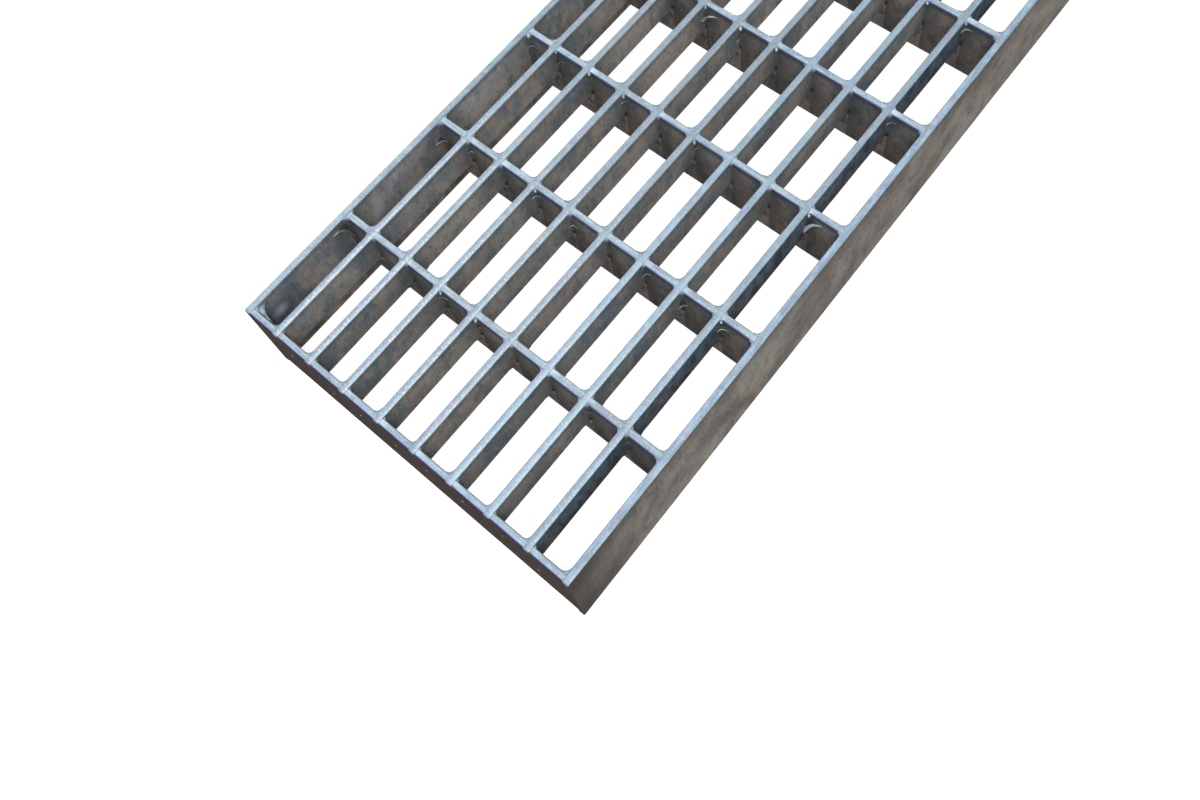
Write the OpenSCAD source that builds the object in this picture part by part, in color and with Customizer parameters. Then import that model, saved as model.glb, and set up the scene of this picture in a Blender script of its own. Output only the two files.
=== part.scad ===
// Channel drain grate: a press-locked mesh of flat steel bars, framed on all four sides.
// X runs across the channel, Y along it and Z up. The origin is the centre of the underside.

/* [Frame] */
// Width over the two side bars
overall_w = 100; // [60:1:300]
// Length over the two end bars
overall_l = 500; // [150:5:1200]
// Depth of the side bars and end bars
frame_h = 30; // [24:0.5:60]
// Thickness of a side bar
side_t = 2; // [1.5:0.1:5]
// Thickness of an end bar
end_t = 2; // [1.5:0.1:5]

/* [Bearing bars] */
// Thickness of a bearing bar
bearing_t = 2; // [1.5:0.1:5]
// Depth of a bearing bar
bearing_h = 21; // [14:0.5:24]
// Distance from one bearing bar's middle to the next
bearing_pitch = 33.3; // [15:0.1:60]
// Distance from the near end's outer face to the first bearing bar's middle
first_bearing = 32.7; // [12:0.1:60]
// Least distance from the last bearing bar's middle to the far end's outer face
last_bearing_gap = 10; // [8:0.5:30]

/* [Fill bars] */
// Thickness of a fill bar
fill_t = 2; // [1:0.1:4]
// Depth of a fill bar
fill_h = 10; // [4:0.5:13]
// Distance from one fill bar's middle to the next
fill_pitch = 11.1; // [8:0.1:40]
// Distance from the left side's outer face to the first fill bar's middle
first_fill = 10.5; // [7:0.1:30]
// Least distance from the last fill bar's middle to the right side's outer face
last_fill_gap = 7; // [7:0.1:10]
// Gap between a fill bar and each side of its slot
slot_clearance = 0.05; // [0:0.01:0.1]

/* [Welds] */
// Leg of the fillet weld at a bearing bar's end
bearing_weld_leg = 1.1; // [0.5:0.1:2]
// Leg of the fillet weld in a corner of the frame
corner_weld_leg = 1.5; // [0.5:0.1:3]
// How far a weld stops below the top face
weld_drop = 0.4; // [0.1:0.1:2]

/* [Hidden] */
$fn = 48;

// Faces that the rest is placed from
left_x = -overall_w / 2;
right_x = overall_w / 2;
near_y = -overall_l / 2;
far_y = overall_l / 2;
inner_w = overall_w - 2 * side_t;
inner_left_x = left_x + side_t;
inner_right_x = right_x - side_t;
bearing_bottom = frame_h - bearing_h;
fill_bottom = frame_h - fill_h;
// A cut runs this far past the face that it opens
cut_over = 1;

bearing_room = overall_l - first_bearing - last_bearing_gap;
bearing_count = floor(bearing_room / bearing_pitch) + 1;
bearing_y = [for (i = [0:bearing_count - 1]) near_y + first_bearing + i * bearing_pitch];

fill_room = overall_w - first_fill - last_fill_gap;
fill_count = floor(fill_room / fill_pitch) + 1;
fill_x = [for (i = [0:fill_count - 1]) left_x + first_fill + i * fill_pitch];

FRAME_NODES = ["side_bar_left", "side_bar_right", "end_bar_near", "end_bar_far"];
BEARING_NODES = [for (i = [1:bearing_count]) str("bearing_bar_", i)];
FILL_NODES = [for (i = [1:fill_count]) str("fill_bar_", i)];
WELD_NODES = ["bearing_welds_left", "bearing_welds_right", "corner_welds"];

frame_colour = [0.55, 0.60, 0.64];
bearing_colour = [0.50, 0.54, 0.56];
fill_colour = [0.62, 0.69, 0.74];
weld_colour = [0.70, 0.76, 0.80];

// A flat bar that runs the whole length of the grate, its outer face at the grate's side
module side_bar(x) {
    color(frame_colour)
        translate([x, near_y, 0])
            cube([side_t, overall_l, frame_h]);
}

// Slots, open at the top, that the fill bars are pressed into
module fill_slots(y, thickness) {
    slot_w = fill_t + 2 * slot_clearance;
    for (x = fill_x)
        translate([x - slot_w / 2, y - cut_over, fill_bottom])
            cube([slot_w, thickness + 2 * cut_over, fill_h + cut_over]);
}

// A flat bar on edge between the side bars, slotted for the fill bars
module slotted_bar(y, thickness, bottom) {
    difference() {
        translate([inner_left_x, y, bottom])
            cube([inner_w, thickness, frame_h - bottom]);
        fill_slots(y, thickness);
    }
}

module end_bar(y) {
    color(frame_colour)
        slotted_bar(y, end_t, 0);
}

module bearing_bar(y) {
    color(bearing_colour)
        slotted_bar(y - bearing_t / 2, bearing_t, bearing_bottom);
}

// A continuous bar that lies in the slots, flush with the top and with both ends
module fill_bar(x) {
    color(fill_colour)
        translate([x - fill_t / 2, near_y, fill_bottom])
            cube([fill_t, overall_l, fill_h]);
}

// A hollow-faced fillet that stands in the corner at the origin, towards +X and +Y
module fillet(leg, bottom) {
    translate([0, 0, bottom])
        linear_extrude(frame_h - weld_drop - bottom)
            difference() {
                square(leg);
                translate([leg, leg])
                    circle(leg);
            }
}

// The two fillets on either face of each bearing bar where it meets the side face at x
module bearing_welds(x, inward) {
    color(weld_colour)
        for (y = bearing_y, face = [-1, 1])
            translate([x, y + face * bearing_t / 2, 0])
                mirror([inward < 0 ? 1 : 0, 0, 0])
                    mirror([0, face < 0 ? 1 : 0, 0])
                        fillet(bearing_weld_leg, bearing_bottom);
}

// One fillet inside each corner of the frame
module corner_welds() {
    color(weld_colour)
        for (side = [-1, 1], end = [-1, 1])
            translate([side * inner_w / 2, end * (overall_l / 2 - end_t), 0])
                mirror([side > 0 ? 1 : 0, 0, 0])
                    mirror([0, end > 0 ? 1 : 0, 0])
                        fillet(corner_weld_leg, 0);
}

side_bar(left_x);  // side_bar_left
side_bar(inner_right_x);  // side_bar_right
end_bar(near_y);  // end_bar_near
end_bar(far_y - end_t);  // end_bar_far
for (i = [0:bearing_count - 1])
    bearing_bar(bearing_y[i]);
for (i = [0:fill_count - 1])
    fill_bar(fill_x[i]);
bearing_welds(inner_left_x, 1);  // bearing_welds_left
bearing_welds(inner_right_x, -1);  // bearing_welds_right
corner_welds();
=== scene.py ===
import math
import random
from types import SimpleNamespace

import bpy
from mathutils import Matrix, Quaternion, Vector, noise


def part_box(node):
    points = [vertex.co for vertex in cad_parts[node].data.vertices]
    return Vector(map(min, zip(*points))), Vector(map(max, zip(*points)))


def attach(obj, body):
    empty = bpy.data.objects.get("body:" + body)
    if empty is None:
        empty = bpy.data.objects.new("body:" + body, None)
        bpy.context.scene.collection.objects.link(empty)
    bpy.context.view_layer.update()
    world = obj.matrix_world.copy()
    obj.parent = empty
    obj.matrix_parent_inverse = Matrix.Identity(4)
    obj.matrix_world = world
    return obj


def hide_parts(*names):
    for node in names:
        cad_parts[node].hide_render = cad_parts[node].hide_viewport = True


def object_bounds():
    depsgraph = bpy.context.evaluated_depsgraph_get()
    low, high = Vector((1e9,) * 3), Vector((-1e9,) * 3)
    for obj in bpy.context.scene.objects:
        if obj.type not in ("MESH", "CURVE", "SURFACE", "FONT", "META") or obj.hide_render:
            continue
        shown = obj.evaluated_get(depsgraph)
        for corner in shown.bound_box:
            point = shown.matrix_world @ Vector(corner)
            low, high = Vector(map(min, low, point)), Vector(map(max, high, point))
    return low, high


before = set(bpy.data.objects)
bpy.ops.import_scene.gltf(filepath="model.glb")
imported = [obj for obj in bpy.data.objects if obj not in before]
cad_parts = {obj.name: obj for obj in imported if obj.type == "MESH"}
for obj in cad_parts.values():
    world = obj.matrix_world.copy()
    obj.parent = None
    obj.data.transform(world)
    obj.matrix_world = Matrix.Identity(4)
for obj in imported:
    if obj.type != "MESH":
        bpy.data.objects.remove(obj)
cad_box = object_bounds()

MM = 0.001
random.seed(30)

# Camera, from the crossings of the mesh in the photograph
IMAGE_W = 1200
FOCAL_PX = 1274.6
CAMERA_PLACE = Vector((110.67, -270.11, 293.39)) * MM
CAMERA_TARGET = Vector((-8.68, -169.67, 30.0)) * MM
CAMERA_ROLL_DEG = -11.63
CAMERA_SHIFT_Y = -0.2
SENSOR_MM = 36.0

# Zinc-coated bars: the radius of their edges, the steps between points along and down a bar,
# and how far the zinc's surface waves on upright faces and on the top
EDGE_R = 0.42 * MM
RING_STEP = 1.8 * MM
SIDE_STEP = 2.6 * MM
CORNER_STEPS = 4
COAT_WAVE = 0.075 * MM
TOP_WAVE = 0.03 * MM

# Bars across the channel: how far their tops lie under the others', how far they run into the
# side bars, and how far an end bar's skin lies inside its node
CROSS_BAR_DROP = 0.10 * MM
CROSS_BAR_REACH = 0.4 * MM
END_SKIN = 0.12 * MM

# How metallic the zinc is
METAL_SHARE = 0.25

# Tints, and tones of painted shade, that several materials share
LILAC_TOP = (0.450, 0.450, 0.640)
INDIGO = (0.140, 0.088, 0.240)
TEAL_DARK = (0.088, 0.118, 0.140)
OLIVE = (0.400, 0.420, 0.320)
# Painted shade at the near end of the openings' walls
NEAR_CORNER_SHADE = (0.150, 0.190, 0.200)
GREEN_DARK = (0.080, 0.120, 0.110)
# Painted shade towards the corners of the openings
CORNER_SHADE = (0.092, 0.122, 0.126)
# Painted shade of the faces that face the near or far end
END_SHADE = (0.230, 0.178, 0.152)

# The middle of the painted bluish highlight on the left side bar's inner wall
BLUE_HIGHLIGHT = (-48.0 * MM, -243.7 * MM, 21.0 * MM)

# Soft light of the room, towards the ground and overhead
WORLD_LOW = (0.098, 0.080, 0.068)
WORLD_HIGH = (0.42, 0.50, 0.58)

# The body that every piece rides on, and the gap between it and the floor
ROOT = "root"
CLEAR_GAP = 0.02 * MM

# Films of zinc: the share of corners that have one, and the large ones by (column, row) of the
# opening, with the legs and depths that film_edge takes and the radius of their rim, all in mm
FILM_SHARE = 0.65
LARGE_FILMS = {
    (0, 0): ((-5.3, 0.6), (2.8, 0.8, 13.0), 0.42),
    (0, 1): ((-3.6, 0.4), (7.0, 6.6, 10.8), 0.24),
    (8, 2): ((-1.8, 3.9), (7.6, 3.0, 2.9), 0.7),
    (3, 3): ((-1.6, 3.6), (5.5, 3.2, 2.8), 0.6),
}


def bar_box(node):
    """The lowest and the highest corner of a node."""
    lo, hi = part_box(node)
    return Vector(lo), Vector(hi)


def numbered(prefix):
    """The nodes with this prefix, in the order of their numbers."""
    names = [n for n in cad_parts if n.startswith(prefix)]
    return sorted(names, key=lambda n: int(n[len(prefix):]))


FILL = numbered("fill_bar_")
BEARING = numbered("bearing_bar_")
SIDES = ["side_bar_left", "side_bar_right"]
ENDS = ["end_bar_near", "end_bar_far"]
TOP_Z = cad_box[1].z
NEAR_Y = cad_box[0].y

# Where the mesh repeats: the near face of a bearing bar and the right face of a fill bar
CELL_Y = bar_box(BEARING[0])[0].y
CELL_X = bar_box(FILL[0])[1].x
BEARING_PITCH = bar_box(BEARING[1])[0].y - CELL_Y
FILL_PITCH = bar_box(FILL[1])[1].x - CELL_X


# Node materials

# The colour sockets of a mix node: the two that go in and the one that comes out
MIX_A = 6
MIX_B = 7
MIX_OUT = 2


def new_material(name):
    """A material with one empty shader, and its node tree."""
    mat = bpy.data.materials.new(name)
    mat.use_nodes = True
    tree = mat.node_tree
    tree.nodes.clear()
    out = tree.nodes.new("ShaderNodeOutputMaterial")
    shader = tree.nodes.new("ShaderNodeBsdfPrincipled")
    tree.links.new(shader.outputs["BSDF"], out.inputs["Surface"])
    return mat, tree, shader


def noise_at(tree, coords, size_mm, detail=3.0, rough=0.55, stretch=None, swirl=0.0):
    """Cloudy noise from 0 to 1 with spots of about this size."""
    tex = tree.nodes.new("ShaderNodeTexNoise")
    tex.inputs["Distortion"].default_value = swirl
    tex.inputs["Scale"].default_value = 1.0 / (size_mm * MM)
    tex.inputs["Detail"].default_value = detail
    tex.inputs["Roughness"].default_value = rough
    source = coords
    if stretch:
        mapping = tree.nodes.new("ShaderNodeMapping")
        mapping.inputs["Scale"].default_value = stretch
        tree.links.new(coords, mapping.inputs["Vector"])
        source = mapping.outputs["Vector"]
    tree.links.new(source, tex.inputs["Vector"])
    return tex.outputs["Fac"]


def ramp(tree, value, low, high, low_out=0.0, high_out=1.0):
    """The value brought from low and high to low_out and high_out, and held at these beyond."""
    node = tree.nodes.new("ShaderNodeMapRange")
    node.inputs["From Min"].default_value = low
    node.inputs["From Max"].default_value = high
    node.inputs["To Min"].default_value = low_out
    node.inputs["To Max"].default_value = high_out
    tree.links.new(value, node.inputs["Value"])
    return node.outputs["Result"]


def mix(tree, factor, a, b):
    """Tone a at factor 0 and tone b at factor 1."""
    node = tree.nodes.new("ShaderNodeMix")
    node.data_type = "RGBA"
    if isinstance(factor, float):
        node.inputs["Factor"].default_value = factor
    else:
        tree.links.new(factor, node.inputs["Factor"])
    for socket, value in ((node.inputs[MIX_A], a), (node.inputs[MIX_B], b)):
        if isinstance(value, tuple):
            socket.default_value = (*value, 1.0)
        else:
            tree.links.new(value, socket)
    return node.outputs[MIX_OUT]


def product(tree, a, b):
    node = tree.nodes.new("ShaderNodeMath")
    node.operation = "MULTIPLY"
    for socket, value in zip(node.inputs, (a, b)):
        if isinstance(value, float):
            socket.default_value = value
        else:
            tree.links.new(value, socket)
    return node.outputs[0]


def srgb(r, g, b):
    """The linear tone of a screen colour whose parts run from 0 to 255."""
    def channel(c):
        c = c / 255.0
        return c / 12.92 if c <= 0.04045 else ((c + 0.055) / 1.055) ** 2.4
    return tuple(channel(c) for c in (r, g, b))


def dots(tree, coords, spacing_mm, radius_mm, share):
    """Small round spots: one to a cell of the spacing, shown in this share of the cells."""
    tex = tree.nodes.new("ShaderNodeTexVoronoi")
    tex.inputs["Scale"].default_value = 1.0 / (spacing_mm * MM)
    tree.links.new(coords, tex.inputs["Vector"])
    reach = radius_mm / spacing_mm
    spot = ramp(tree, tex.outputs["Distance"], reach, reach * 0.5)
    pick = tree.nodes.new("ShaderNodeSeparateColor")
    tree.links.new(tex.outputs["Color"], pick.inputs["Color"])
    return product(tree, spot, ramp(tree, pick.outputs["Red"], 1.0 - share, 1.0 - share * 0.6))


def shade(colour, amount):
    """The tone made darker or lighter by this amount."""
    return tuple(min(1.0, c * amount) for c in colour)


def wrapped(tree, value, low, high):
    """The value brought into one repeat of the mesh, between low and high."""
    node = tree.nodes.new("ShaderNodeMath")
    node.operation = "WRAP"
    tree.links.new(value, node.inputs[0])
    node.inputs[1].default_value = high
    node.inputs[2].default_value = low
    return node.outputs[0]


def tinted(tree, colour, coords, size_mm, amount):
    """The colour with a fine grain of other hues laid over it."""
    tex = tree.nodes.new("ShaderNodeTexNoise")
    tex.inputs["Scale"].default_value = 1.0 / (size_mm * MM)
    tex.inputs["Detail"].default_value = 3.0
    stretch = tree.nodes.new("ShaderNodeMapping")
    stretch.inputs["Scale"].default_value = (1.0, 1.0, 0.45)
    tree.links.new(coords, stretch.inputs["Vector"])
    tree.links.new(stretch.outputs["Vector"], tex.inputs["Vector"])
    node = tree.nodes.new("ShaderNodeMix")
    node.data_type = "RGBA"
    node.blend_type = "OVERLAY"
    node.inputs["Factor"].default_value = amount
    tree.links.new(colour, node.inputs[MIX_A])
    tree.links.new(tex.outputs["Color"], node.inputs[MIX_B])
    return node.outputs[MIX_OUT]


def spot_at(tree, coords, centre, radius):
    """A soft round spot in the material, 1 at the centre and 0 from the radius outwards."""
    node = tree.nodes.new("ShaderNodeVectorMath")
    node.operation = "DISTANCE"
    tree.links.new(coords, node.inputs[0])
    node.inputs[1].default_value = centre
    return ramp(tree, node.outputs["Value"], radius, radius * 0.15)


def layered(tree, tone, layers):
    """Lays tones over one another: a layer is a value, its start and full point, its share and its tone."""
    for value, start, full, share, colour in layers:
        tone = mix(tree, ramp(tree, value, start, full, 0.0, share), tone, colour)
    return tone


def axis_parts(tree, vector):
    """The x, y and z of a vector."""
    node = tree.nodes.new("ShaderNodeSeparateXYZ")
    tree.links.new(vector, node.inputs["Vector"])
    return node.outputs["X"], node.outputs["Y"], node.outputs["Z"]


# How far a surface has turned towards a side when it starts to count as facing it, and when it fully does
WALL_TURN = (0.2, 0.6)
EDGE_TURN = (0.25, 0.50)
BEVEL_TURN = (0.35, 0.60)
TOP_TURN = (0.68, 0.94)


def facing(tree, normal_part, sign, turn):
    """1 where the surface faces the side that sign gives of an axis."""
    return ramp(tree, normal_part, sign * turn[0], sign * turn[1])


def surface_values(tree, along, patch_mm):
    """The places, directions and noises that a zinc coat is mixed from."""
    coords = tree.nodes.new("ShaderNodeTexCoord")
    at = SimpleNamespace(obj=coords.outputs["Object"], along=along)
    at.x, at.y, at.z = axis_parts(tree, at.obj)
    at.normal_x, at.normal_y, at.normal_z = axis_parts(tree, coords.outputs["Normal"])
    at.right = facing(tree, at.normal_x, 1, WALL_TURN)
    at.left = facing(tree, at.normal_x, -1, WALL_TURN)
    at.near = facing(tree, at.normal_y, -1, WALL_TURN)
    at.far = facing(tree, at.normal_y, 1, WALL_TURN)
    run_down = (1.0, 1.0, 0.5)
    long_way = (0.12, 1.0, 1.0) if along == 0 else (1.0, 0.12, 1.0)
    at.cloud = noise_at(tree, at.obj, 16.0, 4.0, 0.50, None, 0.3)
    at.patch = noise_at(tree, at.obj, patch_mm, 4.0, 0.55, run_down, 0.3)
    at.mottle = noise_at(tree, at.obj, 1.8, 4.0, 0.6, run_down)
    at.grain = noise_at(tree, at.obj, 0.55, 2.0, 0.5, run_down)
    at.streak = noise_at(tree, at.obj, 0.8, 3.0, 0.6, long_way)
    return at


def upright_tone(tree, at, tones, cloudy, specks, depth_mm, back):
    """The mottled tone of upright faces, calmer on those that face left."""
    top, side, stain, deep = tones
    # Painted light and shade with depth: the deep tone is lighter on the side and bearing bars, as light
    # from below, and darker on the end bars and fillets
    depth = ramp(tree, at.z, TOP_Z, TOP_Z - depth_mm * MM)
    tone = layered(tree, mix(tree, depth, side, deep), (
        (at.patch, 0.46, 0.60, 0.85, stain),
        (at.cloud, 0.50, 0.66, cloudy, shade(deep, 1.6)),
        (at.cloud, 0.48, 0.34, cloudy, shade(stain, 0.6)),
        (at.mottle, 0.50, 0.70, 0.5, shade(stain, 0.55)),
        (at.grain, 0.50, 0.75, 0.4, shade(side, 1.5)),
    ))
    bright_specks = dots(tree, at.obj, 1.6, 0.26, specks)
    tone = mix(tree, bright_specks, tone, shade(top, 0.9))
    tone = tinted(tree, tone, at.obj, 0.8, 0.5)
    back_tone = back or tuple((a + b) / 2 for a, b in zip(side, stain))
    return mix(tree, product(tree, at.left, 0.7), tone, back_tone)


def corner_shadows(tree, at, tone, amount):
    """Paints shade on the seen walls of each opening towards its corners."""
    if at.along == 1:
        near_wall, far_wall = CELL_Y - BEARING_PITCH, CELL_Y
        cell_y = wrapped(tree, at.y, near_wall, far_wall)
        to_near = ramp(tree, cell_y, near_wall + 8.0 * MM, near_wall + 2.5 * MM)
        near_shadow = product(tree, product(tree, to_near, at.right), amount * 0.8)
        tone = mix(tree, near_shadow, tone, NEAR_CORNER_SHADE)
        to_corner = ramp(tree, cell_y, far_wall - 8.0 * MM, far_wall - 0.5 * MM)
        wall = at.right
    else:
        cell_x = wrapped(tree, at.x, CELL_X, CELL_X + FILL_PITCH)
        to_corner = ramp(tree, cell_x, CELL_X + 5.0 * MM, CELL_X + 0.3 * MM)
        wall = at.near
    shadow = product(tree, product(tree, to_corner, wall), amount)
    return mix(tree, shadow, tone, CORNER_SHADE)


def painted_highlight_spot(tree, at, tone, centre):
    """Paints a soft bluish highlight with a pale middle on the faces that face right."""
    halo = product(tree, spot_at(tree, at.obj, centre, 9.0 * MM), at.right)
    tone = mix(tree, product(tree, halo, 0.8), tone, srgb(92, 108, 122))
    middle = product(tree, spot_at(tree, at.obj, centre, 2.8 * MM), at.right)
    return mix(tree, middle, tone, srgb(206, 232, 255))


def strips_below_edges(tree, at, tone, under, under_mm):
    """Tints the strips just below the near and the right top edge."""
    near_strip = ramp(tree, at.z, TOP_Z - under_mm * MM, TOP_Z - under_mm * 0.35 * MM)
    near_strip = product(tree, at.near, near_strip)
    tone = mix(tree, product(tree, near_strip, 0.85), tone, under)
    right_strip = ramp(tree, at.z, TOP_Z - 2.2 * MM, TOP_Z - 0.5 * MM)
    right_strip = product(tree, at.right, right_strip)
    return mix(tree, product(tree, right_strip, 0.45), tone, GREEN_DARK)


def top_tone(tree, at, top, far_shade, glint_amount):
    """The pale streaked top, with painted shade away from the near end and painted glints and highlights
    that are strongest at the near left.
    """
    tone = mix(tree, ramp(tree, at.streak, 0.36, 0.66), shade(top, 1.14), shade(top, 0.66))
    tone = layered(tree, tone, (
        (at.mottle, 0.45, 0.70, 0.6, shade(top, 0.66)),
        (at.grain, 0.55, 0.75, 0.7, shade(top, 1.35)),
        # Painted shade: the top darkens away from the near end
        (at.y, NEAR_Y + 15.0 * MM, NEAR_Y + 125.0 * MM, far_shade, shade(top, 0.62)),
    ))
    # Painted glints and highlights, strongest at the near left; the top under them is made darker
    left = ramp(tree, at.x, 40.0 * MM, -45.0 * MM, 0.45, 1.0)
    near = ramp(tree, at.y, NEAR_Y + 90.0 * MM, NEAR_Y + 25.0 * MM, 0.20, 1.0)
    glint_reach = product(tree, product(tree, left, near), glint_amount)
    tone = mix(tree, glint_reach, tone, shade(top, 0.76))
    if at.along == 1:
        beside = wrapped(tree, at.x, CELL_X - FILL_PITCH / 2, CELL_X + FILL_PITCH / 2)
        right_half = ramp(tree, beside, CELL_X - 1.3 * MM, CELL_X - 0.5 * MM)
        # A painted highlight on the right half of each fill bar's top
        tone = mix(tree, product(tree, product(tree, right_half, glint_reach), 0.8), tone, shade(top, 1.5))
        left_strip = ramp(tree, beside, CELL_X - 1.2 * MM, CELL_X - 1.7 * MM, 0.0, 0.7)
        tone = mix(tree, product(tree, left_strip, glint_reach), tone, LILAC_TOP)
        glint_reach = product(tree, glint_reach, ramp(tree, right_half, 0.0, 1.0, 0.35, 1.0))
    else:
        beside = wrapped(tree, at.x, CELL_X, CELL_X + FILL_PITCH)
        by_fill_bar = ramp(tree, beside, CELL_X + 2.6 * MM, CELL_X + 0.5 * MM)
        # Painted highlights on pale patches beside each fill bar
        painted_highlight_patches = product(tree, by_fill_bar, ramp(tree, at.patch, 0.46, 0.62))
        tone = mix(tree, product(tree, painted_highlight_patches, 0.8), tone, shade(top, 1.45))
    # Painted glints: small bright dots
    painted_glints = product(tree, dots(tree, at.obj, 0.50, 0.30, 0.8), glint_reach)
    tone = mix(tree, painted_glints, tone, shade(top, 2.2))
    return tinted(tree, tone, at.obj, 1.6, 0.25)


def edge_tints(tree, at, tone, edge):
    """Tints the rounded top edges that face near, left and far."""
    bevel = facing(tree, at.normal_z, 1, BEVEL_TURN)
    for normal_part, sign, strength, tint in (
        (at.normal_y, -1, 0.85, edge),
        (at.normal_x, -1, 0.60, edge),
        (at.normal_y, 1, 0.60, OLIVE),
    ):
        on_edge = product(tree, facing(tree, normal_part, sign, EDGE_TURN), bevel)
        tone = mix(tree, product(tree, on_edge, strength), tone, tint)
    return tone


def bumps(tree, layers):
    """The normal of a surface with these bumps: each is a height value, a strength and a depth in mm."""
    normal = None
    for height, strength, depth_mm in layers:
        node = tree.nodes.new("ShaderNodeBump")
        node.inputs["Strength"].default_value = strength
        node.inputs["Distance"].default_value = depth_mm * MM
        tree.links.new(height, node.inputs["Height"])
        if normal:
            tree.links.new(normal, node.inputs["Normal"])
        normal = node.outputs["Normal"]
    return normal


def set_zinc(tree, shader, tone, mottle, roughness):
    """Gives the shader its tone, a roughness that the mottle varies, and the zinc's share of metal."""
    tree.links.new(tone, shader.inputs["Base Color"])
    tree.links.new(ramp(tree, mottle, 0.3, 0.7, *roughness), shader.inputs["Roughness"])
    shader.inputs["Metallic"].default_value = METAL_SHARE


def galvanised(name, tones, along, edge, under=TEAL_DARK, under_mm=2.8, glint_amount=1.0, cloudy=0.35,
               far_shade=0.0, specks=0.12, corners=0.0, highlight_centre=None, dark_near_end=0.0, patch_mm=5.0,
               depth_mm=16.0, back=None):
    """The zinc of a bar that runs along this axis.

    tones: those of the top, the upright faces, their stains, and the upright faces at depth_mm, whose
    change with depth is painted light from below on the side and bearing bars and painted shade on the end
    bars and fillets.
    edge: the tint of the edges that face left and near.
    under, under_mm: the tint and height of the strip below the near top edge.
    glint_amount: how strong the painted glints and highlights on the near part of the top are.
    cloudy: how strong the wide clouds on upright faces are.
    far_shade: how much painted shade darkens the top away from the near end.
    specks: the share of bright specks on upright faces.
    corners: how much painted shade darkens the upright faces towards the mesh's corners.
    highlight_centre: the centre of a painted bluish highlight.
    dark_near_end: how dark the near end is.
    patch_mm: the size of the stains.
    back: the tone of faces that face left, if it isn't the mean of the upright faces' and stains'.
    """
    mat, tree, shader = new_material(name)
    at = surface_values(tree, along, patch_mm)
    tone = upright_tone(tree, at, tones, cloudy, specks, depth_mm, back)
    if corners:
        tone = corner_shadows(tree, at, tone, corners)
    if highlight_centre:
        tone = painted_highlight_spot(tree, at, tone, highlight_centre)
    # Darker towards the near end
    if dark_near_end:
        near_end = ramp(tree, at.y, NEAR_Y + 24.0 * MM, NEAR_Y + 1.0 * MM, 0.0, dark_near_end)
        tone = mix(tree, near_end, tone, shade(tones[1], 0.32))
    tone = strips_below_edges(tree, at, tone, under, under_mm)
    # Painted shade: faces that face the near or far end turn dark brown
    if along == 1:
        for bar_end in (at.near, at.far):
            tone = mix(tree, bar_end, tone, END_SHADE)
    # Painted light: the pale bluish top stands for sky light on it, and the brown of the upright faces for
    # the ground reflected in them
    facing_up = facing(tree, at.normal_z, 1, TOP_TURN)
    tone = mix(tree, facing_up, tone, top_tone(tree, at, tones[0], far_shade, glint_amount))
    tone = edge_tints(tree, at, tone, edge)
    set_zinc(tree, shader, tone, at.mottle, (0.38, 0.62))
    surface = bumps(tree, ((at.grain, 0.35, 0.12), (at.mottle, 0.45, 0.30)))
    tree.links.new(surface, shader.inputs["Normal"])
    return mat


def mottled_zinc(name, tones, patch_mm, contrast, roughness):
    """Zinc that varies between two tones in small patches."""
    mat, tree, shader = new_material(name)
    coords = tree.nodes.new("ShaderNodeTexCoord")
    mottle = noise_at(tree, coords.outputs["Object"], patch_mm, 3.0)
    set_zinc(tree, shader, mix(tree, ramp(tree, mottle, *contrast), *tones), mottle, roughness)
    return mat


def film_zinc(name, colour, shadow):
    """The thin dull zinc of a film that bridges a corner."""
    return mottled_zinc(name, (colour, shadow), 1.4, (0.38, 0.62), (0.40, 0.60))


def bead_zinc():
    """The small shiny drops of zinc, near white so that they paint the bright highlights at the crossings.
    """
    tones = (srgb(250, 252, 255), srgb(196, 208, 214))
    return mottled_zinc("zinc_beads", tones, 1.2, (0.45, 0.65), (0.16, 0.30))


def rim_zinc():
    """The free edge of a zinc film: near white away from the near end as a painted highlight, with dull tan
    places.
    """
    mat, tree, shader = new_material("zinc_rim")
    coords = tree.nodes.new("ShaderNodeTexCoord")
    obj = coords.outputs["Object"]
    y = axis_parts(tree, obj)[1]
    mottle = noise_at(tree, obj, 3.0, 2.0)
    far = ramp(tree, y, NEAR_Y + 40.0 * MM, NEAR_Y + 80.0 * MM)
    # Painted highlight: near white away from the near end
    pale = mix(tree, far, srgb(168, 156, 140), srgb(238, 242, 244))
    tone = mix(tree, ramp(tree, mottle, 0.50, 0.62, 0.0, 0.8), pale, srgb(120, 112, 104))
    set_zinc(tree, shader, tone, mottle, (0.22, 0.42))
    return mat


# Mesh building

def add_piece(name, verts, faces, material):
    """Makes a smooth mesh piece that rides on the grate."""
    mesh = bpy.data.meshes.new(name)
    mesh.from_pydata(verts, [], faces)
    mesh.validate()
    mesh.update()
    mesh.polygons.foreach_set("use_smooth", [True] * len(mesh.polygons))
    mesh.materials.append(material)
    piece = bpy.data.objects.new(name, mesh)
    bpy.context.scene.collection.objects.link(piece)
    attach(piece, ROOT)
    return piece


def spread(low, high, step):
    """Evenly spaced values from low to high, about a step apart."""
    count = max(1, round((high - low) / step))
    return [low + (high - low) * k / count for k in range(count + 1)]


def tube_faces(base, rings, around):
    """The faces of a closed tube: rings of this many points each, which start at the base."""
    faces = []
    for k in range(rings - 1):
        for m in range(around):
            a = base + k * around + m
            b = base + k * around + (m + 1) % around
            faces.append((a, b, b + around, a + around))
    faces.append(tuple(base + m for m in range(around - 1, -1, -1)))
    faces.append(tuple(base + (rings - 1) * around + m for m in range(around)))
    return faces


def turned(faces, flip):
    """The faces, each turned over if flip is true."""
    return [tuple(reversed(face)) for face in faces] if flip else faces


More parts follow.
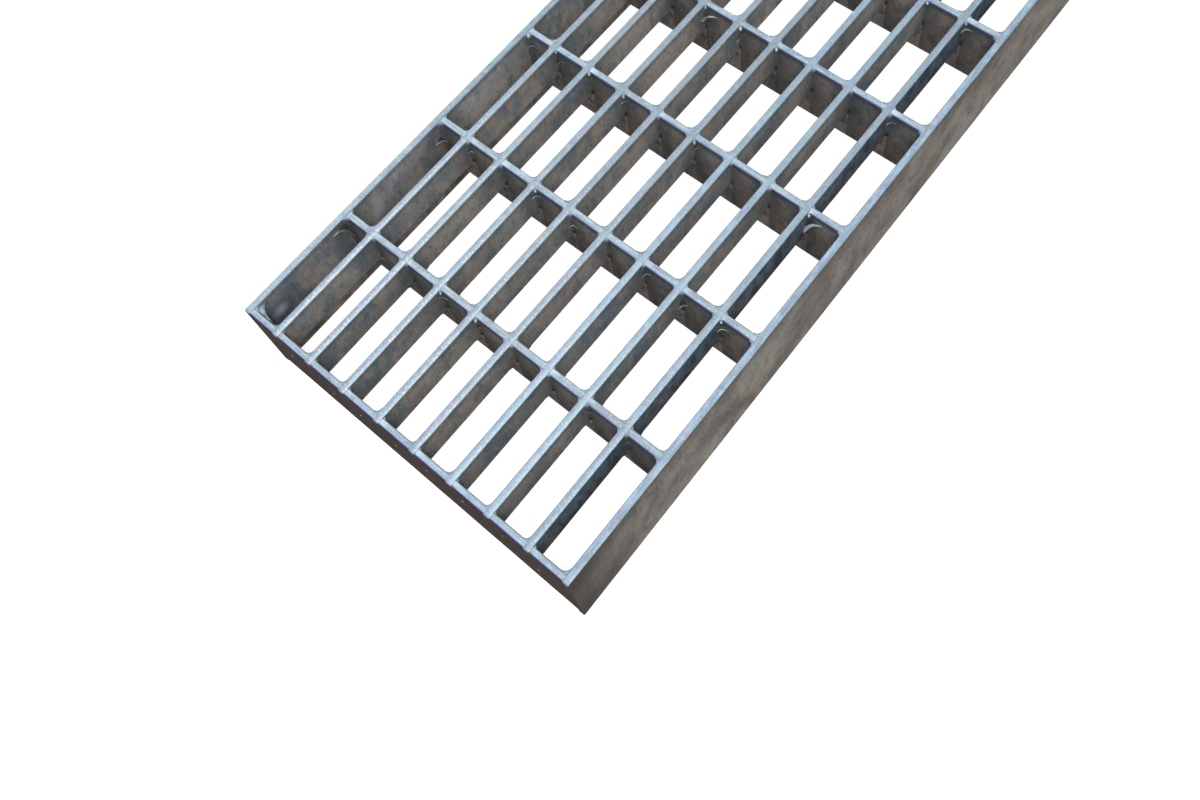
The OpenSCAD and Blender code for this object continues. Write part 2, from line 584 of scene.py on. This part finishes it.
def section(half_w, low, high, radius):
    """Points round a bar's section with their outward normals: u across the bar, z up."""
    points = []
    corners = (
        (half_w - radius, high - radius, 0.0),
        (-half_w + radius, high - radius, 90.0),
        (-half_w + radius, low + radius, 180.0),
        (half_w - radius, low + radius, 270.0),
    )
    for k, (cu, cz, start) in enumerate(corners):
        for step in range(CORNER_STEPS + 1):
            a = math.radians(start + 90.0 * step / CORNER_STEPS)
            n = (math.cos(a), math.sin(a))
            points.append((cu + radius * n[0], cz + radius * n[1], n[0], n[1]))
        if k in (1, 3):
            side = -1.0 if k == 1 else 1.0
            heights = spread(low + 2 * radius, high - 2 * radius, SIDE_STEP)
            for z in (reversed(heights) if k == 1 else heights):
                points.append((side * half_w, z, side, 0.0))
    return points


def coat(place, seed):
    """The share of the wave's depth by which the zinc lies under its nominal face at this place."""
    wide = noise.noise(place / (9.0 * MM) + Vector((seed, 0, 0)))
    fine = noise.noise(place / (2.6 * MM) + Vector((0, seed, 0)))
    return 0.5 + 0.35 * wide + 0.15 * fine


def rounding(out):
    """How far a bar's rounded end lies inside its sides, this far from its tip."""
    return EDGE_R - math.sqrt(max(0.0, 2 * out * EDGE_R - out * out))


def swept_bar(name, node, along, material, seed, top_drop=0.0, skin=0.0, reach=0.0):
    """A zinc-coated flat bar with soft, slightly uneven edges in place of a node's plain solid.

    top_drop is how far its top lies under the node's top, skin how far its sides and underside lie
    inside the node, and reach how far its ends run past the node's ends.
    """
    lo, hi = bar_box(node)
    across = 1 - along
    mid = (lo[across] + hi[across]) / 2
    half_w = (hi[across] - lo[across]) / 2 - skin
    ring = section(half_w, lo.z + skin, hi.z - top_drop, EDGE_R)
    start, stop = lo[along] - reach, hi[along] + reach
    steps = spread(start, stop, RING_STEP)
    ends = [EDGE_R * (1 - math.cos(math.radians(a))) for a in (30.0, 60.0, 90.0)]
    stations = [(start, EDGE_R)]
    stations += [(start + e, rounding(e)) for e in ends]
    stations += [(s, 0.0) for s in steps if start + 2 * EDGE_R < s < stop - 2 * EDGE_R]
    stations += [(stop - e, rounding(e)) for e in reversed(ends)]
    stations += [(stop, EDGE_R)]
    verts = []
    for s, inset in stations:
        for u, z, nu, nz in ring:
            at = Vector((0.0, 0.0, z))
            at[along] = s
            at[across] = mid + u
            wave = TOP_WAVE if nz > 0.9 else COAT_WAVE
            push = -inset - wave * coat(at, seed)
            at[across] += nu * push
            at.z += nz * push
            verts.append(at)
    faces = turned(tube_faces(0, len(stations), len(ring)), along == 0)
    piece = add_piece(name, verts, faces, material)
    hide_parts(node)


# Zinc that gathered in the corners

# Steps round a fillet and up it, how far it sinks into the bars, and where it stops below the top
FILLET_STEPS = 6
FILLET_RISE = 2.2 * MM
FILLET_SINK = 0.25 * MM
FILLET_TOP = TOP_Z - CROSS_BAR_DROP - 0.05 * MM

# The range of a fillet's leg in mm, by the sides of the fill bar and the crosswise bar that it is on
MESH_LEGS = {(-1, -1): (0.4, 0.7), (1, -1): (0.4, 0.7), (-1, 1): (0.9, 1.4), (1, 1): (0.35, 0.55)}


def fillet_faces(verts, faces, corner, signs, legs, low, high, seed):
    """Adds one hollow-faced fillet that stands in the corner of two bars, narrower at its foot."""
    cx, cy = corner
    sx, sy = signs
    base = len(verts)
    heights = spread(low, high, FILLET_RISE)
    for k, z in enumerate(heights):
        wobble = 1.0 + 0.28 * noise.noise(Vector((cx, cy, z)) / (3.0 * MM) + Vector((seed, 0, 0)))
        grow = (0.72 if k == 0 else 1.0) * wobble
        a, b = legs[0] * grow, legs[1] * grow
        for step in range(FILLET_STEPS + 1):
            t = math.radians(90.0 * step / FILLET_STEPS)
            verts.append((cx + sx * a * (1 - math.sin(t)), cy + sy * b * (1 - math.cos(t)), z))
        verts.append((cx - sx * FILLET_SINK, cy + sy * b, z))
        verts.append((cx - sx * FILLET_SINK, cy - sy * FILLET_SINK, z))
        verts.append((cx + sx * a, cy - sy * FILLET_SINK, z))
    around = FILLET_STEPS + 4
    faces.extend(turned(tube_faces(base, len(heights), around), sx * sy < 0))


def mesh_fillets(material):
    """Fillets in the corners where fill bars cross the bearing bars and enter the end bars."""
    verts, faces = [], []
    for fill in FILL:
        f_lo, f_hi = bar_box(fill)
        for cross in [ENDS[0], *BEARING, ENDS[1]]:
            c_lo, c_hi = bar_box(cross)
            for sx, x in ((-1, f_lo.x), (1, f_hi.x)):
                for sy, y in ((-1, c_lo.y), (1, c_hi.y)):
                    if (cross == ENDS[0] and sy < 0) or (cross == ENDS[1] and sy > 0):
                        continue
                    leg = random.uniform(*MESH_LEGS[sx, sy]) * MM
                    legs = (leg, leg * random.uniform(0.8, 1.25))
                    skin, top = 0.0, FILLET_TOP
                    if cross in ENDS:
                        skin, top = END_SKIN, FILLET_TOP - 0.15 * MM
                    corner = (x, y - sy * skin)
                    seed = random.random() * 50
                    fillet_faces(verts, faces, corner, (sx, sy), legs, f_lo.z, top, seed)
    add_piece("zinc_fillets", verts, faces, material)


def side_fillets(side, material):
    """The fillet welds of the bearing bars on one side bar, under their zinc."""
    verts, faces = [], []
    lo, hi = bar_box(side)
    inner_x, sx = (hi.x, 1) if side == "side_bar_left" else (lo.x, -1)
    for bar in BEARING:
        b_lo, b_hi = bar_box(bar)
        for sy, y in ((-1, b_lo.y), (1, b_hi.y)):
            slim = 0.55 if sx > 0 and sy > 0 else 1.0
            leg = random.uniform(0.95, 1.3) * slim * MM
            seed = random.random() * 50
            fillet_faces(verts, faces, (inner_x, y), (sx, sy), (leg, leg), b_lo.z, FILLET_TOP, seed)
    piece = add_piece("zinc_" + side.replace("bar", "welds"), verts, faces, material)
    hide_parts(side.replace("side_bar", "bearing_welds"))


def frame_fillets(material):
    """The welds inside the four corners of the frame, under their zinc."""
    verts, faces = [], []
    leg, low, high = 1.6 * MM, 0.4 * MM, FILLET_TOP - 0.15 * MM
    for side, sx in (("side_bar_left", 1), ("side_bar_right", -1)):
        s_lo, s_hi = bar_box(side)
        x = s_hi.x if sx > 0 else s_lo.x
        for end, sy in (("end_bar_near", 1), ("end_bar_far", -1)):
            e_lo, e_hi = bar_box(end)
            y = e_hi.y if sy > 0 else e_lo.y
            corner = (x, y - sy * END_SKIN)
            fillet_faces(verts, faces, corner, (sx, sy), (leg, leg), low, high, 7.0 * sx + sy)
    piece = add_piece("zinc_corner_welds", verts, faces, material)
    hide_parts("corner_welds")


# Steps across a film and down it, and along its rim and round it
FILM_ACROSS = 10
FILM_DOWN = 4
RIM_STEPS = 14
RIM_ROUND = 7


def film_edge(corner, legs, depths, t):
    """A point of a film's free edge, an arch from the lengthwise bar's face to the crosswise bar's.

    A negative first leg runs towards the near end, a positive one towards the far end.
    The depths below the top are those of the arch's start, middle and stop.
    """
    start = Vector((0.0, legs[0], -depths[0]))
    middle = Vector((legs[1] * 0.15, legs[0] * 0.15, -depths[1]))
    stop = Vector((legs[1], 0.0, -depths[2]))
    curve = start * (1 - t) ** 2 + middle * 2 * t * (1 - t) + stop * t * t
    return Vector((*corner, TOP_Z)) + curve


def film_faces(verts, faces, corner, legs, depths, apex_depth):
    """Adds one thin zinc film that bridges a corner below its top."""
    base = len(verts)
    apex = Vector((corner[0] - 0.1 * MM, corner[1], TOP_Z - apex_depth))
    for layer in (0, 1):
        for j in range(FILM_DOWN + 1):
            v = j / FILM_DOWN
            for i in range(FILM_ACROSS + 1):
                edge = film_edge(corner, legs, depths, i / FILM_ACROSS)
                point = apex.lerp(edge, v)
                point.z -= math.sin(math.pi * v) * 0.4 * MM + layer * (0.15 + 0.2 * v) * MM
                verts.append(point)
    wide = FILM_ACROSS + 1
    sheet = wide * (FILM_DOWN + 1)

    def at(layer, j, i):
        return base + layer * sheet + j * wide + i

    new = []
    for j in range(FILM_DOWN):
        for i in range(FILM_ACROSS):
            new.append((at(0, j, i), at(0, j + 1, i), at(0, j + 1, i + 1), at(0, j, i + 1)))
            new.append((at(1, j, i), at(1, j, i + 1), at(1, j + 1, i + 1), at(1, j + 1, i)))
    foot = FILM_DOWN
    for i in range(FILM_ACROSS):
        new.append((at(0, 0, i), at(0, 0, i + 1), at(1, 0, i + 1), at(1, 0, i)))
        new.append((at(0, foot, i + 1), at(0, foot, i), at(1, foot, i), at(1, foot, i + 1)))
    stop = FILM_ACROSS
    for j in range(FILM_DOWN):
        new.append((at(0, j + 1, 0), at(0, j, 0), at(1, j, 0), at(1, j + 1, 0)))
        new.append((at(0, j, stop), at(0, j + 1, stop), at(1, j + 1, stop), at(1, j, stop)))
    faces.extend(turned(new, legs[0] > 0))


def rim_faces(verts, faces, corner, legs, depths, radius):
    """Adds a film's thickened free edge: a tube that is thickest near its start and thin at its stop."""
    base = len(verts)
    for k in range(RIM_STEPS + 1):
        t = k / RIM_STEPS
        here = film_edge(corner, legs, depths, t)
        before = film_edge(corner, legs, depths, max(0.0, t - 0.05))
        after = film_edge(corner, legs, depths, min(1.0, t + 0.05))
        ahead = (after - before).normalized()
        if k == 0:
            first = ahead.orthogonal().normalized()
        else:
            first = (first - ahead * first.dot(ahead)).normalized()
        second = ahead.cross(first)
        r = radius * min(1.0, 0.4 + 3.0 * t) * (1.0 - 0.75 * t)
        for m in range(RIM_ROUND):
            a = 2 * math.pi * m / RIM_ROUND
            verts.append(here + (first * math.cos(a) + second * math.sin(a)) * r)
    faces.extend(tube_faces(base, RIM_STEPS + 1, RIM_ROUND))


def zinc_films(film_material, rim_material):
    """Films left in the corner between a lengthwise bar's right face and a bearing bar's near face."""
    verts, faces = [], []
    rim_verts, rim_list = [], []
    for column, long_bar in enumerate(["side_bar_left", *FILL]):
        right_x = bar_box(long_bar)[1].x
        for row, bar in enumerate(BEARING):
            near_y = bar_box(bar)[0].y
            chance = random.random()
            legs = (-random.uniform(0.8, 1.8) * MM, random.uniform(1.3, 2.4) * MM)
            start = random.uniform(3.0, 7.0) * MM
            depths = (start, start * random.uniform(0.5, 0.8), start * random.uniform(0.4, 1.1))
            radius = random.uniform(0.11, 0.20) * MM
            if (column, row) in LARGE_FILMS:
                large_legs, large_depths, large_radius = LARGE_FILMS[column, row]
                legs = [v * MM for v in large_legs]
                depths = [v * MM for v in large_depths]
                radius = large_radius * MM
                chance = 0.0
            if chance < FILM_SHARE:
                corner = (right_x, near_y)
                film_faces(verts, faces, corner, legs, depths, min(depths) * 0.4)
                rim_faces(rim_verts, rim_list, corner, legs, depths, radius)
    add_piece("zinc_films", verts, faces, film_material)
    add_piece("zinc_film_rims", rim_verts, rim_list, rim_material)


def zinc_corner_film(material):
    """The pale film in the near left corner of the frame."""
    verts, faces = [], []
    corner = (bar_box("side_bar_left")[1].x, bar_box("end_bar_near")[1].y)
    legs = (3.0 * MM, 6.0 * MM)
    depths = (0.9 * MM, 0.8 * MM, 0.9 * MM)
    film_faces(verts, faces, corner, legs, depths, 0.3 * MM)
    add_piece("zinc_corner_film", verts, faces, material)


# Steps down a drip's hollow face, and how far it sinks into the bars
DRIP_STEPS = 6
DRIP_SINK = 0.3 * MM


def drip_faces(verts, faces, place, half_w, reach, drop, sign):
    """Adds the hollow-faced zinc left under a fill bar where it meets a bearing bar's face."""
    x, y, z = place
    base = len(verts)
    outline = [(-DRIP_SINK, DRIP_SINK), (reach, DRIP_SINK)]
    for step in range(DRIP_STEPS + 1):
        t = math.radians(90.0 * step / DRIP_STEPS)
        outline.append((reach * (1 - math.sin(t)), -drop * (1 - math.cos(t))))
    outline.append((-DRIP_SINK, -drop))
    for side in (-1, 1):
        for out, down in outline:
            shrink = 1.0 - 0.35 * min(1.0, max(0.0, -down / drop))
            verts.append((x + side * half_w * shrink, y + sign * out, z + down))
    faces.extend(turned(tube_faces(base, 2, len(outline)), sign > 0))


def zinc_drips(material):
    """The zinc under each crossing of a fill bar and a bearing bar, on both faces of the bearing bar."""
    verts, faces = [], []
    for fill in FILL:
        f_lo, f_hi = bar_box(fill)
        mid_x = (f_lo.x + f_hi.x) / 2
        half_w = (f_hi.x - f_lo.x) / 2 - COAT_WAVE
        for bar in BEARING:
            b_lo, b_hi = bar_box(bar)
            for sign, y in ((-1, b_lo.y), (1, b_hi.y)):
                reach = random.uniform(2.2, 3.2) * MM
                drop = random.uniform(4.2, 6.0) * MM
                drip_faces(verts, faces, (mid_x, y, f_lo.z), half_w, reach, drop, sign)
    add_piece("zinc_drips", verts, faces, material)


# Steps round a drop and down it, the share of crossings that have one, how far its middle lies out
# from a crossing's faces, and how far inside the end bar's outer face
BEAD_ROUND = 10
BEAD_TALL = 7
BEAD_SHARE = 0.4
CROSSING_BEAD_OUT = 0.40 * MM
END_BEAD_IN = 0.35 * MM


def bead_faces(verts, faces, centre, radii):
    """Adds one drop, rounded all over."""
    base = len(verts)
    cx, cy, cz = centre
    verts.append((cx, cy, cz + radii[2]))
    for j in range(1, BEAD_TALL):
        lat = math.pi * j / BEAD_TALL
        for i in range(BEAD_ROUND):
            lon = 2 * math.pi * i / BEAD_ROUND
            verts.append((
                cx + radii[0] * math.sin(lat) * math.cos(lon),
                cy + radii[1] * math.sin(lat) * math.sin(lon),
                cz + radii[2] * math.cos(lat),
            ))
    verts.append((cx, cy, cz - radii[2]))
    last = len(verts) - 1
    for i in range(BEAD_ROUND):
        nxt = (i + 1) % BEAD_ROUND
        faces.append((base, base + 1 + i, base + 1 + nxt))
        for j in range(BEAD_TALL - 2):
            a = base + 1 + j * BEAD_ROUND
            faces.append((a + i, a + BEAD_ROUND + i, a + BEAD_ROUND + nxt, a + nxt))
        a = base + 1 + (BEAD_TALL - 2) * BEAD_ROUND
        faces.append((a + i, last, a + nxt))


def zinc_beads(material):
    """Drops that froze at the crossings and on the outer face of the end bar."""
    verts, faces = [], []
    for long_bar in ["side_bar_left", *FILL]:
        x = bar_box(long_bar)[1].x + CROSSING_BEAD_OUT
        for bar in BEARING:
            y = bar_box(bar)[0].y - CROSSING_BEAD_OUT
            if random.random() < BEAD_SHARE:
                r = random.uniform(0.22, 0.5) * MM
                tall = r * random.uniform(1.2, 2.2)
                place = (x, y, TOP_Z - 0.15 * MM - tall)
                bead_faces(verts, faces, place, (r, r, tall))
    for fill in FILL:
        r = random.uniform(0.25, 0.5) * MM
        z = TOP_Z - random.uniform(9.0, 17.0) * MM
        x = bar_box(fill)[1].x + random.uniform(-0.5, 1.5) * MM
        bead_faces(verts, faces, (x, NEAR_Y + END_BEAD_IN, z), (r, 0.33 * MM, r))
    add_piece("zinc_beads", verts, faces, material)


# Stage

def make_floor():
    """A pale sheet that shows white. It casts no light on the object, so that the bars stay dark below."""
    size = 6.0
    corners = [(-size, -size, 0), (size, -size, 0), (size, size, 0), (-size, size, 0)]
    mesh = bpy.data.meshes.new("floor")
    mesh.from_pydata(corners, [], [(0, 1, 2, 3)])
    floor = bpy.data.objects.new("floor", mesh)
    bpy.context.scene.collection.objects.link(floor)
    floor.location.z = -CLEAR_GAP
    floor.visible_diffuse = False
    floor.visible_glossy = False
    mat, _, shader = new_material("floor_pale")
    shader.inputs["Base Color"].default_value = (0.80, 0.80, 0.80, 1.0)
    shader.inputs["Roughness"].default_value = 0.9
    shader.inputs["Emission Color"].default_value = (1.0, 1.0, 1.0, 1.0)
    shader.inputs["Emission Strength"].default_value = 0.85
    mesh.materials.append(mat)


def area_light(name, place, aim, size, power, colour):
    """A square light at one place that shines towards another."""
    data = bpy.data.lights.new(name, "AREA")
    data.shape = "SQUARE"
    data.size = size
    data.energy = power
    data.color = colour
    light = bpy.data.objects.new(name, data)
    bpy.context.scene.collection.objects.link(light)
    light.location = place
    light.rotation_mode = "QUATERNION"
    light.rotation_quaternion = (Vector(aim) - Vector(place)).to_track_quat("-Z", "Y")


def make_world():
    """A soft room: cool and light overhead, warm and dim towards the ground."""
    world = bpy.data.worlds.new("studio")
    world.use_nodes = True
    tree = world.node_tree
    background = tree.nodes["Background"]
    coords = tree.nodes.new("ShaderNodeTexCoord")
    direction = tree.nodes.new("ShaderNodeSeparateXYZ")
    tree.links.new(coords.outputs["Generated"], direction.inputs["Vector"])
    height = ramp(tree, direction.outputs["Z"], -0.25, 0.65)
    tree.links.new(mix(tree, height, WORLD_LOW, WORLD_HIGH), background.inputs["Color"])
    background.inputs["Strength"].default_value = 1.0
    bpy.context.scene.world = world


def make_lights():
    make_world()
    area_light("key", (0.55, -0.45, 1.25), (0.0, -0.18, 0.0), 0.7, 9.0, (1.0, 0.99, 0.97))
    area_light("fill", (-0.9, 0.3, 1.0), (0.0, -0.15, 0.0), 0.9, 5.0, (0.86, 0.94, 1.0))


def make_camera():
    """The camera of the photograph's view."""
    data = bpy.data.cameras.new("camera")
    data.sensor_width = SENSOR_MM
    data.lens = FOCAL_PX / IMAGE_W * SENSOR_MM
    data.shift_y = CAMERA_SHIFT_Y
    data.clip_start = 0.01
    data.clip_end = 50.0
    camera = bpy.data.objects.new("camera", data)
    bpy.context.scene.collection.objects.link(camera)
    camera.location = CAMERA_PLACE
    camera.rotation_mode = "QUATERNION"
    look = (CAMERA_TARGET - CAMERA_PLACE).to_track_quat("-Z", "Y")
    camera.rotation_quaternion = look @ Quaternion((0, 0, 1), math.radians(CAMERA_ROLL_DEG))
    bpy.context.scene.camera = camera


make_camera()
make_floor()
make_lights()
bpy.context.scene.view_settings.view_transform = "Standard"

# Tints of the edges that face left and near
LILAC = srgb(172, 168, 192)
DARK_LILAC = srgb(118, 110, 180)

side_zinc = galvanised(
    "zinc_side", (srgb(180, 200, 214), srgb(184, 177, 169), srgb(172, 165, 156), srgb(218, 205, 188)),
    1, LILAC, glint_amount=0.2, cloudy=0.45, dark_near_end=0.8, patch_mm=8.0)
left_zinc = galvanised(
    "zinc_side_left", (srgb(168, 187, 198), srgb(182, 174, 168), srgb(140, 156, 164), srgb(236, 230, 222)),
    1, LILAC, glint_amount=0.4, far_shade=0.4, corners=0.45, highlight_centre=BLUE_HIGHLIGHT, depth_mm=24.0)
# The end bars' upright faces are painted a darker brown as shade
END_SHADES = (srgb(184, 204, 215), srgb(136, 120, 112), srgb(124, 108, 101), srgb(126, 110, 99))
near_end_zinc = galvanised(
    "zinc_end", END_SHADES, 0, DARK_LILAC, under=INDIGO, under_mm=6.0, glint_amount=0.3, cloudy=0.2)
far_end_zinc = galvanised("zinc_end_far", END_SHADES, 0, DARK_LILAC, glint_amount=0.3, cloudy=0.2)
bearing_zinc = galvanised(
    "zinc_bearing", (srgb(190, 206, 213), srgb(162, 152, 144), srgb(132, 140, 144), srgb(198, 188, 178)),
    0, DARK_LILAC, glint_amount=0.2, corners=0.6)
warm_fill_zinc = galvanised(
    "zinc_fill", (srgb(184, 198, 206), srgb(192, 182, 170), srgb(138, 154, 162), srgb(194, 184, 172)),
    1, LILAC, far_shade=0.8, corners=0.5)
cool_fill_zinc = galvanised(
    "zinc_fill_cool", (srgb(188, 208, 221), srgb(178, 174, 168), srgb(134, 150, 160), srgb(184, 176, 166)),
    1, LILAC, far_shade=0.6, corners=0.45)
# The fill bar beside the right side bar: its upright faces are painted darker and teal as shade
shaded_fill_zinc = galvanised(
    "zinc_fill_shaded", (srgb(182, 198, 208), srgb(110, 146, 168), srgb(70, 80, 92), srgb(138, 122, 120)),
    1, LILAC, far_shade=0.5, specks=0.6, corners=0.5, patch_mm=3.0, depth_mm=11.0, back=srgb(150, 143, 136))
fillet_zinc = galvanised(
    "zinc_fillets", (srgb(178, 198, 206), srgb(128, 134, 134), srgb(108, 118, 118), srgb(112, 110, 104)),
    0, LILAC, glint_amount=0.0, cloudy=0.2)

# The pieces, in the order of their random draws
for seed, side_node in enumerate(SIDES):
    coat_material = left_zinc if side_node == "side_bar_left" else side_zinc
    swept_bar(side_node.replace("bar", "bar_coated"), side_node, 1, coat_material, 3.1 + seed)
for seed, end_node in enumerate(ENDS):
    coat_material = near_end_zinc if end_node == "end_bar_near" else far_end_zinc
    swept_bar(end_node.replace("bar", "bar_coated"), end_node, 0, coat_material, 7.3 + seed,
              CROSS_BAR_DROP, END_SKIN, CROSS_BAR_REACH)
for seed, bearing_node in enumerate(BEARING):
    swept_bar(bearing_node.replace("bar", "bar_coated"), bearing_node, 0, bearing_zinc,
              11.7 + seed, CROSS_BAR_DROP, 0.0, CROSS_BAR_REACH)
FILL_COATS = {FILL[5]: cool_fill_zinc, FILL[6]: cool_fill_zinc, FILL[7]: shaded_fill_zinc}
for seed, fill_node in enumerate(FILL):
    coat_material = FILL_COATS.get(fill_node, warm_fill_zinc)
    swept_bar(fill_node.replace("bar", "bar_coated"), fill_node, 1, coat_material, 31.9 + seed)

mesh_fillets(fillet_zinc)
for side_node in SIDES:
    side_fillets(side_node, fillet_zinc)
frame_fillets(fillet_zinc)
zinc_films(film_zinc("zinc_film", srgb(104, 106, 102), srgb(76, 72, 66)), rim_zinc())
zinc_corner_film(film_zinc("zinc_film_pale", srgb(176, 192, 196), srgb(136, 148, 150)))
zinc_drips(bearing_zinc)
zinc_beads(bead_zinc())
